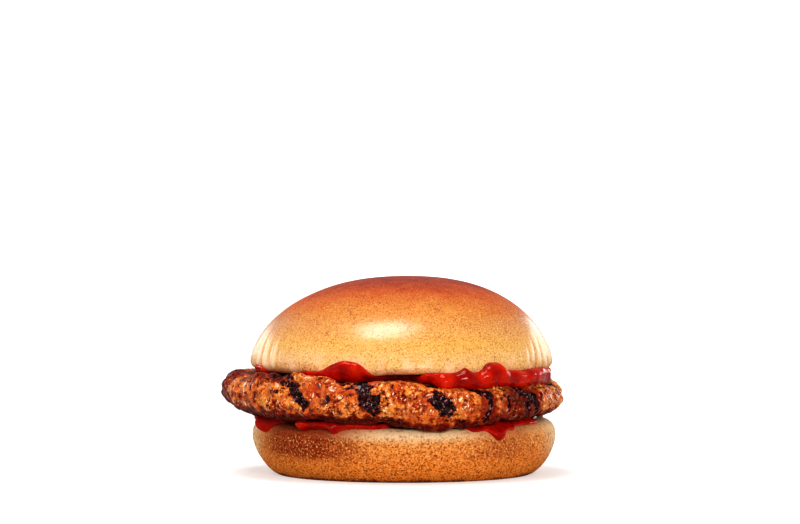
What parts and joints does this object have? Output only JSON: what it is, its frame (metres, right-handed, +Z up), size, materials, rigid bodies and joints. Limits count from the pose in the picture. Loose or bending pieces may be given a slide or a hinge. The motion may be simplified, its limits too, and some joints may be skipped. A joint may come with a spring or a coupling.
{
  "type": "sausage sandwich",
  "caption": "Round glossy bun cut across, holding a wide flame-grilled sausage patty with ketchup squeezed out above and below it.",
  "frame": {"origin": "on the surface that the bun stands on, under the middle of the sausage patty", "axes": "+Z up through the layers, -Y towards the shown front, +X to the right as seen from the front"},
  "size_m": [0.117, 0.1179, 0.0676],
  "materials": {
    "crown_crust": "egg-washed golden crust, glossy, browner at the top",
    "heel_crust": "dry baked crust with fine pores, matte",
    "sausage": "coarse grilled ground meat, glistening, with charred grill marks",
    "ketchup": "wet glossy tomato ketchup"
  },
  "bodies": {
    "root": {"crown": "crown_crust", "ketchup_upper": "ketchup", "sausage_patty": "sausage", "ketchup_lower": "ketchup", "heel": "heel_crust"}
  },
  "joints": []
}
